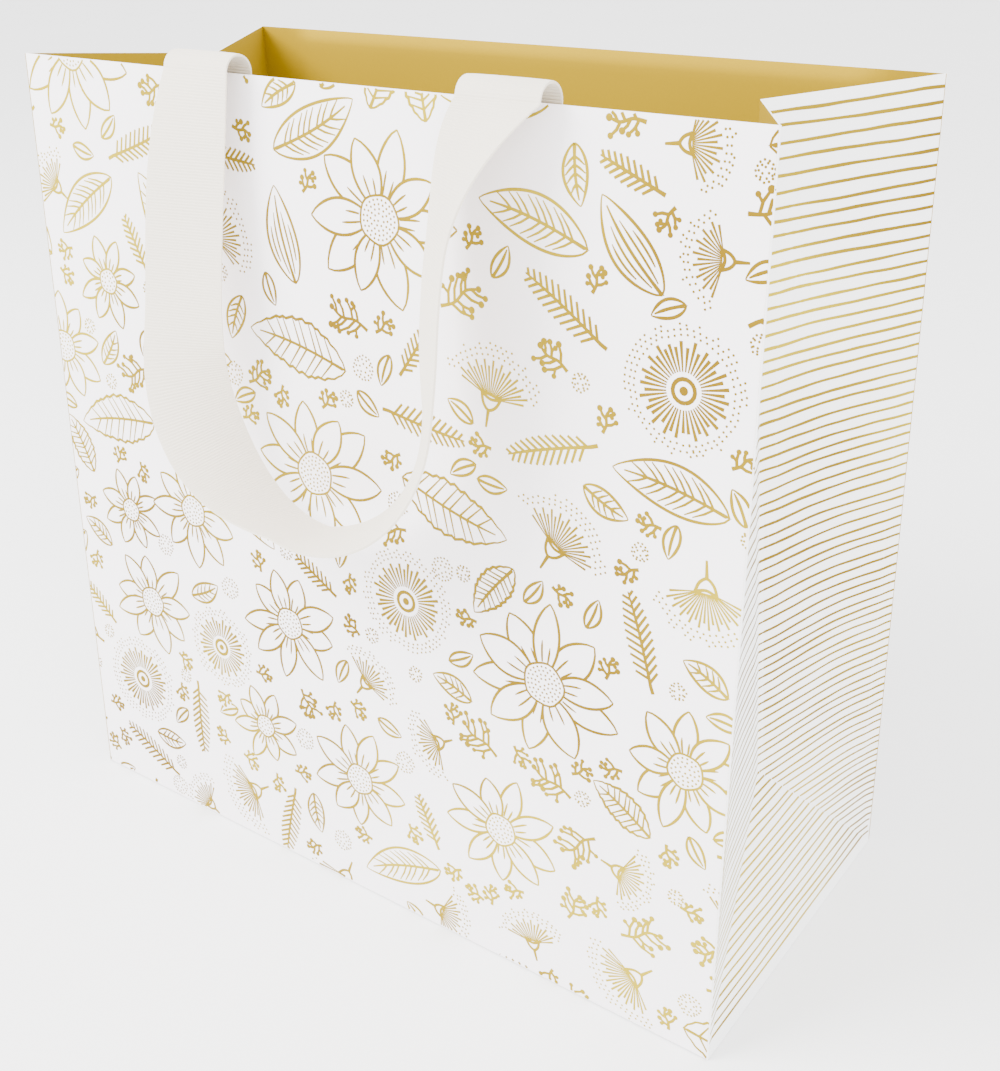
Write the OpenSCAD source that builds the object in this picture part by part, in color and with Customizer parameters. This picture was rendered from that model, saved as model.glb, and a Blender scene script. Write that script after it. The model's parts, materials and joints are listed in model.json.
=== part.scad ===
/* [Bag] */
// Width of the front and back panels
bag_w = 260; // [200:1:320]
// Depth of the base from front to back
bag_d = 120; // [96:1:150]
// Height of the panels, measured along the paper
bag_h = 262; // [210:1:320]
// Thickness of the printed paper
paper_t = 0.4; // [0.3:0.05:0.6]
// Inward lean of the front and back panels, in degrees
panel_lean = 1.75; // [0.8:0.05:2.5]
// Inward tilt of the small triangles at the foot of the gussets, in degrees
foot_tilt = 17; // [10:0.5:24]
// How far the top of each gusset crease lies below the top edge
crease_drop = 3; // [1:0.5:6]

/* [Base] */
// Overlap of the two long bottom flaps
flap_lap = 20; // [10:1:40]
// Thickness of the loose bottom board
board_t = 1; // [0.6:0.1:2]
// Clearance between the bottom board and each wall
board_gap = 2.5; // [1.5:0.5:6]

/* [Rim] */
// Height of the hem that is turned into the mouth
hem_h = 45; // [40:1:70]
// Height of the stiffening card behind the hem
card_h = 34; // [30:1:38]
// Thickness of the stiffening card
card_t = 0.8; // [0.5:0.1:1.5]
// Distance from each end of the card to the side of the panel
card_margin = 24; // [20:1:40]
// Distance from the top edge down to the card
card_drop = 4; // [2:0.5:6]
// Distance from the top edge down to the slits for the ribbons
slit_drop = 11; // [9:0.5:14]
// Height of each slit
slit_h = 3; // [2:0.5:4]

/* [Handles] */
// Width of the ribbon
ribbon_w = 25; // [15:1:35]
// Thickness of the ribbon
ribbon_t = 0.7; // [0.5:0.1:1]
// Distance between the centres of the two legs of a handle
leg_spacing = 104; // [80:1:120]
// How far the middle between the two legs is to the right of the middle of the panel
leg_offset = 7.5; // [0:0.5:10]
// How much closer to the middle each leg is where the bend starts
leg_taper = 5.5; // [0:0.5:8]
// Drop of the loop below its turn
loop_drop = 124; // [100:1:160]
// Distance of the loop's lowest point from the panel
loop_standoff = 20; // [16:1:30]
// Length of ribbon that is glued behind the hem
tail_len = 24; // [15:1:25]

/* [Fit] */
// Gap at each fold between sheets that move against each other
fold_gap = 0.3; // [0.2:0.05:0.6]
// Further gap between the bottom flaps and the sheets that tilt over them
base_gap = 1; // [0.6:0.1:1.5]

/* [Hidden] */
// height at which each folding sheet starts, so that its foot turns freely
foot_lift = 0.2;
// first layer inside the panel, then the layer inside the card and ribbon
hem_low = paper_t;
hem_high = paper_t + card_t + ribbon_t + 0.1;
hem_end = bag_w / 2 - 2;
card_end = bag_w / 2 - card_margin;
// width of the seam flap that closes the sheet, and its distance from the base
seam_w = 15;
seam_foot = 6;
// top edge and foot of a gusset half, along the inner face of a panel
edge_y = paper_t + fold_gap;
top_in = bag_d / 2 - bag_h * sin(panel_lean);
crease_in = sqrt(pow(bag_d / 2, 2) - pow(top_in, 2));
// ribbon path over the rim, measured from the outer face of the panel
rim_in = hem_high + paper_t + fold_gap + ribbon_t / 2;
rim_out = -6.5;
rim_z = bag_h + 0.6;
// ribbon path between card and hem, and where the back one comes out of its slits
slit_z = bag_h - slit_drop;
glued_in = paper_t + card_t + 0.05 + ribbon_t / 2;
slit_out = -0.2 - ribbon_t / 2;
// the turn of each handle: inner side, outer side, height
over_rim = [rim_in, rim_out, rim_z];
through_slit = [glued_in, slit_out, slit_z];
// hanging loop: straight legs, then a half circle
loop_r = leg_spacing / 2 - leg_taper;
leg_len = loop_drop - loop_r;
half_len = leg_len + loop_r * PI / 2;
loop_rings = 32;

// colours of the paper, its gold inside, the grey card and the ribbon
white_paper = "#f6f3f8";
gold_paper = "#d8b860";
grey_card = "#b9b3a8";
ribbon_cream = "#efeae2";

// ---- frames of the two leaning walls: x along the wall, y inwards, z up the paper ----
module on_front() {
  translate([0, -bag_d / 2, 0]) rotate([-panel_lean, 0, 0]) children();
}

module on_back() {
  rotate([0, 0, 180]) on_front() children();
}

function wall_point(x, y, z) = [
  x,
  -bag_d / 2 + y * cos(panel_lean) + z * sin(panel_lean),
  -y * sin(panel_lean) + z * cos(panel_lean)
];

// ---- flat sheets given by their corners, thick towards the side where they run anticlockwise ----
function unit(v) = v / norm(v);
function normal(p) = unit(cross(p[1] - p[0], p[2] - p[0]));
function side(p, i) = norm(p[(i + 1) % 3] - p[(i + 2) % 3]);

// a triangle whose edges all move inwards by the same distance
function inset(p, d) =
  let (
    round = side(p, 0) + side(p, 1) + side(p, 2),
    middle = (side(p, 0) * p[0] + side(p, 1) * p[1] + side(p, 2) * p[2]) / round,
    radius = norm(cross(p[1] - p[0], p[2] - p[0])) / round
  )
  [for (q = p) middle + (q - middle) * (radius - d) / radius];

module sheet(p, t, lift = 0) {
  n = normal(p);
  count = len(p);
  polyhedron(
    points = [for (h = [lift, lift + t]) for (q = p) q + n * h],
    faces = concat(
      [[for (i = [0:count - 1]) i]],
      [[for (i = [count - 1:-1:0]) count + i]],
      [for (i = [0:count - 1]) [i, count + i, count + (i + 1) % count, (i + 1) % count]]
    )
  );
}

// ---- corners of the front half of the right gusset ----
gusset_foot = wall_point(bag_w / 2, edge_y, foot_lift);
gusset_head = wall_point(bag_w / 2, edge_y, bag_h);
crease_head = [bag_w / 2 - crease_in, 0, bag_h * cos(panel_lean) - crease_drop];
crease_foot = [bag_w / 2 - bag_d / 2 * sin(foot_tilt), 0, bag_d / 2 * cos(foot_tilt)];
upper_half = inset([gusset_foot, gusset_head, crease_head], fold_gap / 2);
lower_half = inset([gusset_foot, crease_head, crease_foot], fold_gap / 2);
foot_corner = [bag_w / 2, -gusset_foot[1], foot_lift];

module upper() {
  color(white_paper) sheet(upper_half, paper_t);
}

module lower() {
  color(white_paper) sheet(lower_half, paper_t);
}

module foot_triangle() {
  color(white_paper) sheet(inset([gusset_foot, crease_foot, foot_corner], fold_gap / 2), paper_t);
}

// the band of hem that lies on the inside of an upper half
module gusset_hem() {
  keep = 1 - hem_h / bag_h;
  p = upper_half;
  low_edge = p[0] + (p[1] - p[0]) * keep;
  low_crease = p[0] + (p[2] - p[0]) * keep;
  color(gold_paper) sheet([low_edge, p[1], p[2], low_crease], paper_t, paper_t);
}

module at_back() {
  mirror([0, 1, 0]) children();
}

module at_left() {
  mirror([1, 0, 0]) children();
}

// ---- base ----
base_w = bag_w / 2 - edge_y - base_gap;
base_d = bag_d / 2 - edge_y - base_gap;

module long_flap(layer) {
  reach = base_d + flap_lap / 2;
  color(white_paper)
    translate([0, 0, layer * paper_t])
      linear_extrude(paper_t)
        polygon([
          [-base_w, -base_d], [base_w, -base_d], [base_w - reach * 0.25, reach - base_d],
          [-base_w + reach * 0.25, reach - base_d]
        ]);
}

module bottom_back_flap() {
  rotate([0, 0, 180]) long_flap(0);
}

module bottom_front_flap() {
  long_flap(1);
}

module bottom_side_flap_right() {
  color(white_paper)
    translate([0, 0, 2 * paper_t])
      linear_extrude(paper_t)
        polygon([
          [base_w, -base_d], [base_w, base_d], [base_w - base_d * 0.8, base_d * 0.2],
          [base_w - base_d * 0.8, -base_d * 0.2]
        ]);
}

module bottom_side_flap_left() {
  at_left() bottom_side_flap_right();
}

module bottom_board() {
  board = [bag_w - 2 * board_gap, bag_d - 2 * board_gap, board_t];
  color(grey_card)
    translate([-board[0] / 2, -board[1] / 2, 3 * paper_t])
      cube(board);
}

// ---- walls ----
module panel() {
  color(white_paper)
    translate([-bag_w / 2, 0, foot_lift])
      cube([bag_w, paper_t, bag_h - foot_lift]);
}

module card() {
  color(grey_card)
    translate([-card_end, paper_t, bag_h - card_drop - card_h])
      cube([2 * card_end, card_t, card_h]);
}

// takes the two slits for a handle out of a sheet
module with_slits(low) {
  difference() {
    children();
    for (sign = [-1, 1])
      translate([leg_x(sign) - ribbon_w / 2 - 1, -1, low])
        cube([ribbon_w + 2, hem_high + paper_t + 2, slit_h]);
  }
}

// the hem lies on the panel near the corners and steps over the card between them
module hem() {
  step = card_end + 2;
  ramp = 4;
  outer = [
    [-hem_end, hem_low], [-step - ramp, hem_low], [-step, hem_high],
    [step, hem_high], [step + ramp, hem_low], [hem_end, hem_low]
  ];
  color(gold_paper) {
    translate([0, 0, bag_h - hem_h])
      linear_extrude(hem_h)
        polygon(concat(outer, [for (i = [len(outer) - 1:-1:0]) outer[i] + [0, paper_t]]));
    translate([-step, paper_t, bag_h - paper_t])
      cube([2 * step, hem_high - paper_t + paper_t / 2, paper_t]);
  }
}

// ---- ribbon ----
function leg_x(sign) = leg_offset + sign * leg_spacing / 2;
function heading(p, i) = unit(p[min(i + 1, len(p) - 1)] - p[max(i - 1, 0)]);
function beside(p, i, d) = p[i] + d * [-heading(p, i)[1], heading(p, i)[0]];

// a tail: glued between card and hem, then either out through the hem's slit, up and over the rim,
// or straight out through the slit in card and panel
module tail(x, over) {
  r = (over[0] - over[1]) / 2;
  mid = (over[0] + over[1]) / 2;
  path = concat(
    [[glued_in, slit_z - tail_len]],
    over[0] > glued_in ? [[glued_in, slit_z - 1.4], [over[0], slit_z + 1.1]] : [],
    [for (a = [0:15:180]) [mid + r * cos(a), over[2] + r * sin(a)]]
  );
  count = len(path);
  color(ribbon_cream)
    translate([x - ribbon_w / 2, 0, 0])
      rotate([90, 0, 90])
        linear_extrude(ribbon_w)
          polygon(concat(
            [for (i = [0:count - 1]) beside(path, i, ribbon_t / 2)],
            [for (i = [count - 1:-1:0]) beside(path, i, -ribbon_t / 2)]
          ));
}

// the hanging loop, by the share s of the way from its turn to the lowest point
function ease(v) = let (w = min(1, max(0, v))) w * w * (3 - 2 * w);
function bend(s) = max(0, s * half_len - leg_len) / loop_r * 180 / PI;
function first_turn(s) = 1 - pow(1 - min(1, s / 0.25), 2);
// the right leg of the handle that goes over the rim twists more and stands off sooner
function twisted(sign, over) = sign > 0 && over[2] > bag_h;
function turn(s, strong) =
  strong
  ? 42 * first_turn(s) + 60 * pow(max(0, (s - 0.4) / 0.6), 1.6)
  : 17 * first_turn(s) + 85 * ease((s - 0.4) / 0.6);
function offset_out(s, strong, from) =
  from + (loop_standoff - from) * (1 - pow(1 - s, strong ? 4 : 2.2));
function loop_point(s, sign, over) =
  let (down = min(s * half_len, leg_len))
  [
    sign * loop_r * cos(bend(s)) + (leg_x(sign) - sign * loop_r) * pow(1 - down / leg_len, 5),
    -offset_out(s, twisted(sign, over), -over[1]),
    over[2] - fold_gap - down - loop_r * sin(bend(s))
  ];
function loop_width(s, sign, angle) = [
  sign * cos(bend(s)) * cos(angle),
  -sin(angle),
  -sin(bend(s)) * cos(angle)
];

loop_at = [for (i = [-loop_rings:loop_rings]) [1 - abs(i) / loop_rings, i < 0 ? -1 : 1]];

function loop_ring(path, i, over) =
  let (
    k = loop_at[i],
    across = loop_width(k[0], k[1], turn(k[0], twisted(k[1], over))),
    face = unit(cross(across, heading(path, i))) * ribbon_t / 2,
    half = across * ribbon_w / 2
  )
  [path[i] - half - face, path[i] + half - face, path[i] + half + face, path[i] - half + face];

// two triangles between neighbouring rings, split along the same diagonal on both faces of the ribbon
function strip(i, k) =
  let (
    a = 4 * i + k,
    b = 4 * i + (k + 1) % 4,
    c = a + 4,
    d = b + 4
  )
  k < 2 ? [[a, c, b], [c, d, b]] : [[a, c, d], [a, d, b]];

module loop(over) {
  path = [for (k = loop_at) loop_point(k[0], k[1], over)];
  count = len(path);
  color(ribbon_cream)
    polyhedron(
      points = [for (i = [0:count - 1]) each loop_ring(path, i, over)],
      faces = concat(
        [[0, 1, 2, 3]],
        [for (i = [0:count - 2]) for (k = [0:3]) each strip(i, k)],
        [[for (k = [3:-1:0]) 4 * (count - 1) + k]]
      )
    );
}

// ---- wall assemblies, one module per node ----
module front_panel() { on_front() panel(); }
module front_hem() { on_front() with_slits(slit_z - slit_h / 2) hem(); }
module front_card() { on_front() card(); }
module front_tail_right() { on_front() tail(leg_x(1), over_rim); }
module front_tail_left() { on_front() tail(leg_x(-1), over_rim); }
module front_ribbon_loop() { on_front() loop(over_rim); }
module back_panel() { on_back() with_slits(slit_z - 0.1) panel(); }
module back_hem() { on_back() hem(); }
module back_card() { on_back() with_slits(slit_z - 0.1) card(); }
module back_tail_right() { on_back() tail(leg_x(-1), through_slit); }
module back_tail_left() { on_back() tail(leg_x(1), through_slit); }
module back_ribbon_loop() { on_back() loop(through_slit); }

// the flap that closes the sheet, glued inside the back panel at the left corner
module side_seam_flap() {
  color(gold_paper)
    on_back()
      translate([bag_w / 2 - 2 - seam_w, paper_t, seam_foot])
        cube([seam_w, paper_t, bag_h - hem_h - seam_foot - 1]);
}

module right_foot_triangle() { foot_triangle(); }
module right_front_lower() { lower(); }
module right_back_lower() { at_back() lower(); }
module right_front_upper() { upper(); }
module right_front_hem() { gusset_hem(); }
module right_back_upper() { at_back() upper(); }
module right_back_hem() { at_back() gusset_hem(); }
module left_foot_triangle() { at_left() foot_triangle(); }
module left_front_lower() { at_left() lower(); }
module left_back_lower() { at_left() at_back() lower(); }
module left_front_upper() { at_left() upper(); }
module left_front_hem() { at_left() gusset_hem(); }
module left_back_upper() { at_left() at_back() upper(); }
module left_back_hem() { at_left() at_back() gusset_hem(); }

bottom_back_flap();
bottom_front_flap();
bottom_side_flap_right();
bottom_side_flap_left();
bottom_board();
front_panel();
front_hem();
front_card();
front_tail_right();
front_tail_left();
back_panel();
back_hem();
back_card();
back_tail_right();
back_tail_left();
side_seam_flap();
right_foot_triangle();
right_front_lower();
right_back_lower();
left_foot_triangle();
left_front_lower();
left_back_lower();
right_front_upper();
right_front_hem();
right_back_upper();
right_back_hem();
left_front_upper();
left_front_hem();
left_back_upper();
left_back_hem();
front_ribbon_loop();
back_ribbon_loop();
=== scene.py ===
import json
import math
import random

import bpy
from mathutils import Matrix, Vector, noise


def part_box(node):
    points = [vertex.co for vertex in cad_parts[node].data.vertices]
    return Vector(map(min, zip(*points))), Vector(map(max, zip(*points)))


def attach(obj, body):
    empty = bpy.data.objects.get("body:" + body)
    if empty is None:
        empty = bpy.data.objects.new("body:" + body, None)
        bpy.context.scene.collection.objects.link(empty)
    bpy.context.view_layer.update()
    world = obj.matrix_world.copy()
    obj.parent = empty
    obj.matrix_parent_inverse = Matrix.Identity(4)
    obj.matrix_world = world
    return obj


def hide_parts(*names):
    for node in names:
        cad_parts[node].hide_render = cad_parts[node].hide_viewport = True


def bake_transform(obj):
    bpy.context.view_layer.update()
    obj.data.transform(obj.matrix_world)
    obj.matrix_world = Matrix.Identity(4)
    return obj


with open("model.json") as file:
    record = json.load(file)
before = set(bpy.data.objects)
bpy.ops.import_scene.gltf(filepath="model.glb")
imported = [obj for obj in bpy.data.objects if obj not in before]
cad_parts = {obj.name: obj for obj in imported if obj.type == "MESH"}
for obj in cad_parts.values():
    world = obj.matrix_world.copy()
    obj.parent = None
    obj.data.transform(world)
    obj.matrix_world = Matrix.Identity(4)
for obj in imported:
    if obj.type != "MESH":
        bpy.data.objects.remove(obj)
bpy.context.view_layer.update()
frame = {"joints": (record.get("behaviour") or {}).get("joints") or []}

mm = 0.001

# sizes taken from the frame
joints = {j["name"]: j for j in frame["joints"]}
halfDepth = -joints["mouth_pinch"]["pos_m"][1]
halfWidth = joints["right_gusset_fold"]["pos_m"][0]
wallUp = joints["right_front_crease"]["axis"]
lean = math.atan2(wallUp[1], wallUp[2])
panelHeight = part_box("front_panel")[1][2] / math.cos(lean)


# camera
camera = dict(place=(0.2578, -0.3289, 0.3099), azimuth=35.05, elevation=23.49, roll=-0.36,
              lens=46.02, shiftX=-0.0283, shiftY=-0.0532)


def addCamera():
    data = bpy.data.cameras.new("bagCamera")
    data.lens = camera["lens"]
    data.sensor_width = 36
    data.shift_x = camera["shiftX"]
    data.shift_y = camera["shiftY"]
    cam = bpy.data.objects.new("bagCamera", data)
    bpy.context.scene.collection.objects.link(cam)
    turn = (Matrix.Rotation(math.radians(camera["azimuth"]), 4, "Z")
            @ Matrix.Rotation(math.radians(90 - camera["elevation"]), 4, "X")
            @ Matrix.Rotation(math.radians(camera["roll"]), 4, "Z"))
    cam.matrix_world = Matrix.Translation(camera["place"]) @ turn
    bpy.context.scene.camera = cam


addCamera()


# shader helpers
class Wire:
    def __init__(self, tree, socket):
        self.tree = tree
        self.socket = socket

    def math(self, operation, other, swap=False):
        node = self.tree.nodes.new("ShaderNodeMath")
        node.operation = operation
        first, second = (other, self) if swap else (self, other)
        for slot, value in ((0, first), (1, second)):
            if isinstance(value, Wire):
                self.tree.links.new(value.socket, node.inputs[slot])
            else:
                node.inputs[slot].default_value = value
        return Wire(self.tree, node.outputs[0])

    def __add__(self, other):
        return self.math("ADD", other)

    def __radd__(self, other):
        return self.math("ADD", other, True)

    def __sub__(self, other):
        return self.math("SUBTRACT", other)

    def __rsub__(self, other):
        return self.math("SUBTRACT", other, True)

    def __mul__(self, other):
        return self.math("MULTIPLY", other)

    def __rmul__(self, other):
        return self.math("MULTIPLY", other, True)

    def __pow__(self, other):
        return self.math("POWER", other)


class Finish:
    def __init__(self, name):
        self.material = bpy.data.materials.new(name)
        self.material.use_nodes = True
        self.tree = self.material.node_tree
        self.shader = self.tree.nodes["Principled BSDF"]

    def node(self, kind, settings=None, out=0, **sockets):
        made = self.tree.nodes.new("ShaderNode" + kind)
        for key, value in (settings or {}).items():
            if key == "stops":
                while len(made.color_ramp.elements) < len(value):
                    made.color_ramp.elements.new(0.5)
                for stop, (place, colour) in zip(made.color_ramp.elements, value):
                    stop.position = place
                    stop.color = (*colour, 1)
            else:
                setattr(made, key, value)
        for key, value in sockets.items():
            self.feed(made.inputs[key.replace("_", " ")], value)
        return Wire(self.tree, made.outputs[out])

    def feed(self, socket, value):
        if isinstance(value, Wire):
            self.tree.links.new(value.socket, socket)
        elif isinstance(value, tuple) and len(value) == 3 and socket.type == "RGBA":
            socket.default_value = (*value, 1)
        else:
            socket.default_value = value

    def place(self):
        return self.node("TexCoord", out=3)

    def uv(self):
        return self.node("TexCoord", out=2)

    def noise(self, vector, scale, detail=2.0, rough=0.5):
        return self.node("TexNoise", Vector=vector, Scale=scale, Detail=detail, Roughness=rough)

    def mix(self, factor, a, b):
        made = self.tree.nodes.new("ShaderNodeMix")
        made.data_type = "RGBA"
        self.feed(made.inputs[0], factor)
        self.feed(made.inputs[6], a)
        self.feed(made.inputs[7], b)
        return Wire(self.tree, made.outputs[2])

    def bump(self, height, strength, distance):
        self.feed(self.shader.inputs["Normal"],
                  self.node("Bump", Height=height, Strength=strength, Distance=distance))

    def set(self, **values):
        for key, value in values.items():
            self.feed(self.shader.inputs[key.replace("_", " ")], value)
        return self


def paperFinish(name, bright, dull):
    made = Finish(name)
    here = made.place()
    fibre = made.noise(here, 900.0, 4.0, 0.65)
    cloud = made.noise(here, 22.0, 2.0)
    made.set(Base_Color=made.mix(fibre * 0.45 + cloud * 0.4, bright, dull),
             Roughness=0.44 + fibre * 0.16, IOR=1.46)
    made.bump(fibre, 0.12, 0.00004)
    return made.material


def goldPaperFinish():
    made = Finish("goldPaper")
    here = made.place()
    grain = made.noise(here, 1400.0, 3.0, 0.6)
    cloud = made.noise(here, 9.0, 2.0)
    made.set(Base_Color=made.mix(cloud * 0.6 + grain * 0.3, (0.37, 0.24, 0.003), (0.28, 0.175, 0.002)),
             Metallic=0.1, Roughness=0.55 + grain * 0.12, Specular_IOR_Level=0.05)
    made.bump(grain, 0.1, 0.00003)
    return made.material


def foilFinish():
    made = Finish("goldFoil")
    here = made.place()
    # painted sheen: broad bright and dark patches in the foil's base colour stand in for the reflections of
    # its metal, light gold as painted highlight and dark gold as painted shade
    painted_sheen = made.noise(here, 13.0, 1.5)
    fleck = made.noise(here, 2600.0, 2.0)
    made.set(Base_Color=made.node("ValToRGB", {"stops": [(0.36, (0.17, 0.1, 0.002)),
                                                         (0.5, (0.26, 0.175, 0.004)),
                                                         (0.64, (0.39, 0.29, 0.01))]}, Fac=painted_sheen),
             Metallic=0.2, Roughness=0.44 + fleck * 0.14, Specular_IOR_Level=0.05)
    made.bump(fleck, 0.1, 0.00003)
    return made.material


def ribbonFinish():
    made = Finish("creamGrosgrain")
    along = made.uv()
    here = made.place()
    thread = made.noise(here, 5200.0, 3.0, 0.6)
    cloud = made.noise(here, 60.0, 2.0)
    made.set(Base_Color=made.mix(thread * 0.5 + cloud * 0.3, (0.78, 0.715, 0.61), (0.66, 0.60, 0.50)),
             Roughness=0.72 + thread * 0.14, Sheen_Weight=0.25, Sheen_Roughness=0.4)
    made.bump(made.node("TexNoise", Vector=along, Scale=900.0, Detail=2.0) * 0.4 + thread * 0.6,
              0.35, 0.00008)
    return made.material


def cardFinish():
    made = Finish("greyCard")
    here = made.place()
    pulp = made.noise(here, 700.0, 5.0, 0.7)
    fleck = made.noise(here, 160.0, 3.0)
    made.set(Base_Color=made.mix(pulp * 0.6 + fleck * 0.3, (0.66, 0.62, 0.56), (0.44, 0.41, 0.37)),
             Roughness=0.85 + pulp * 0.1)
    made.bump(pulp, 0.4, 0.0001)
    return made.material


printedPaper = paperFinish("printedPaper", (0.965, 0.925, 0.95), (0.93, 0.89, 0.915))
linedPaper = paperFinish("linedPaper", (0.96, 0.96, 0.96), (0.92, 0.92, 0.925))
goldPaper = goldPaperFinish()
goldFoil = foilFinish()
creamRibbon = ribbonFinish()
greyCard = cardFinish()
print("finishes ready")


# modelling helpers
def smooth(t):
    t = min(1.0, max(0.0, t))
    return t * t * (3 - 2 * t)


def gridSheet(name, columns, rows, place):
    bpy.ops.object.select_all(action="DESELECT")
    bpy.ops.mesh.primitive_grid_add(x_subdivisions=len(columns) - 1, y_subdivisions=len(rows) - 1,
                                    size=1, calc_uvs=True)
    piece = bpy.context.object
    piece.name = name
    for vertex in piece.data.vertices:
        i = round((vertex.co.x + 0.5) * (len(columns) - 1))
        j = round((vertex.co.y + 0.5) * (len(rows) - 1))
        vertex.co = place(columns[i], rows[j])
    return piece


def spread(low, high, count):
    return [low + (high - low) * i / count for i in range(count + 1)]


def applyAll(piece):
    bpy.ops.object.select_all(action="DESELECT")
    piece.select_set(True)
    bpy.context.view_layer.objects.active = piece
    for modifier in list(piece.modifiers):
        bpy.ops.object.modifier_apply(modifier=modifier.name)


def editMesh(piece, *steps):
    bpy.ops.object.select_all(action="DESELECT")
    piece.select_set(True)
    bpy.context.view_layer.objects.active = piece
    bpy.ops.object.mode_set(mode="EDIT")
    bpy.ops.mesh.select_all(action="SELECT")
    for step in steps:
        step()
    bpy.ops.object.mode_set(mode="OBJECT")


def thicken(piece, thickness, outside, inside, rim=0):
    solid = piece.modifiers.new("paper", "SOLIDIFY")
    solid.thickness = thickness
    solid.offset = -1
    solid.use_even_offset = True
    solid.material_offset = 1
    solid.material_offset_rim = rim
    piece.data.materials.append(outside)
    piece.data.materials.append(inside)
    applyAll(piece)
    bpy.ops.object.shade_smooth_by_angle(angle=math.radians(40))


def weld(piece, facing, first=False):
    editMesh(piece, lambda: bpy.ops.mesh.remove_doubles(threshold=0.00002))
    faces = piece.data.polygons
    sample = faces[0] if first else max(faces, key=lambda f: f.area)
    if sample.normal.dot(facing(sample.center)) < 0:
        editMesh(piece, bpy.ops.mesh.flip_normals)


def mirrored(piece, name, flipX, flipY):
    copy = piece.copy()
    copy.data = piece.data.copy()
    copy.name = name
    bpy.context.scene.collection.objects.link(copy)
    copy.data.transform(Matrix.Diagonal((-1 if flipX else 1, -1 if flipY else 1, 1, 1)))
    if flipX != flipY:
        copy.data.flip_normals()
    return copy


# the leaning walls
def wallPoint(x, inward, up):
    return Vector((x, -halfDepth + inward * math.cos(lean) + up * math.sin(lean),
                   -inward * math.sin(lean) + up * math.cos(lean)))


wall = dict(paper=0.35 * mm, foot=0.2 * mm, bow=0.8 * mm, ripple=0.25 * mm, rippleSize=0.11)


def wallBow(x, up):
    across = 1 - (x / halfWidth) ** 2
    rise = math.sin(min(1.0, max(0.0, up / panelHeight)) * math.pi / 2)
    wave = noise.noise(Vector((x, up, 0.7)) / wall["rippleSize"])
    return across * rise * (wall["bow"] + wall["ripple"] * wave)


def onWall(x, inward, up):
    return wallPoint(x, inward - wallBow(x, up), up)


def outFront(_):
    return Vector((0, -1, 0))


rim = dict(high=2.35 * mm, paper=0.3 * mm, start=0.38 * mm, swell=3 * mm, ramp=5 * mm, margin=4.5 * mm,
           slitWide=27 * mm, slitHigh=3 * mm, slitDrop=11 * mm)
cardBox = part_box("front_card")
cardEnd = cardBox[1][0]
hemHeight = 45 * mm
rightLeg, leftLeg = [(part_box(name)[0][0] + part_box(name)[1][0]) / 2
                     for name in ("front_tail_right", "front_tail_left")]


def hemLift(x, up):
    over = 1 - smooth((abs(x) - cardEnd - 1 * mm) / rim["ramp"])
    down = smooth((panelHeight - up) / rim["swell"])
    foot = 1 - 0.75 * smooth((panelHeight - up - 38 * mm) / (6 * mm))
    return rim["start"] + (rim["high"] - rim["start"]) * over * down * foot


def slitSheet(name, wide, low, high, across, upwards, slits, place, facing):
    slit = rim["slitWide"] / 2
    edges = [(leg - slit, leg + slit) for leg in (leftLeg, rightLeg)]
    columns = sorted(set(spread(-wide, wide, across) + [x for pair in edges for x in pair]))
    slitLow, slitHigh = slits if slits else (high, high)
    rows = sorted(set(spread(low, slitLow, upwards) + [slitHigh]
                      + (spread(slitHigh, high, 10) if slits else [])))
    piece = gridSheet(name, columns, rows, place)
    weld(piece, facing)
    if slits:
        gap = [wallPoint(0, 0, up).z for up in slits]
        editMesh(piece, lambda: bpy.ops.mesh.select_mode(type="FACE"),
                 lambda: bpy.ops.mesh.select_all(action="DESELECT"))
        for face in piece.data.polygons:
            across = any(a < face.center.x < b for a, b in edges)
            face.select = across and gap[0] < face.center.z < gap[1]
        bpy.ops.object.mode_set(mode="EDIT")
        bpy.ops.mesh.delete(type="FACE")
        bpy.ops.mesh.select_mode(type="VERT")
        bpy.ops.object.mode_set(mode="OBJECT")
    return piece


def makeHem(back):
    low = panelHeight - rim["slitDrop"] - rim["slitHigh"] / 2
    piece = slitSheet("front_hem_paper", halfWidth - rim["margin"], panelHeight - hemHeight,
                      panelHeight - 0.05 * mm, 64, 20, None if back else (low, low + rim["slitHigh"]),
                      lambda x, up: onWall(x, hemLift(x, up), up), lambda c: Vector((0, 1, 0)))
    thicken(piece, rim["paper"], goldPaper, printedPaper)
    return piece


def makePanel(back):
    low = panelHeight - rim["slitDrop"] - 0.1 * mm
    piece = slitSheet("front_panel_paper", halfWidth, wall["foot"], panelHeight, 48, 48,
                      (low, low + rim["slitHigh"]) if back else None,
                      lambda x, up: onWall(x, 0, up), outFront)
    thicken(piece, wall["paper"], printedPaper, goldPaper)
    return piece


def makeCard(back):
    bottom, top = cardBox[0][2] / math.cos(lean), cardBox[1][2] / math.cos(lean)
    low = panelHeight - rim["slitDrop"] - 0.1 * mm
    piece = slitSheet("front_card_board", cardEnd, bottom, top, 40, 8,
                      (low, low + rim["slitHigh"]) if back else None,
                      lambda x, up: onWall(x, 0.42 * mm, up), outFront)
    thicken(piece, 0.75 * mm, greyCard, greyCard)
    return piece


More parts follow.
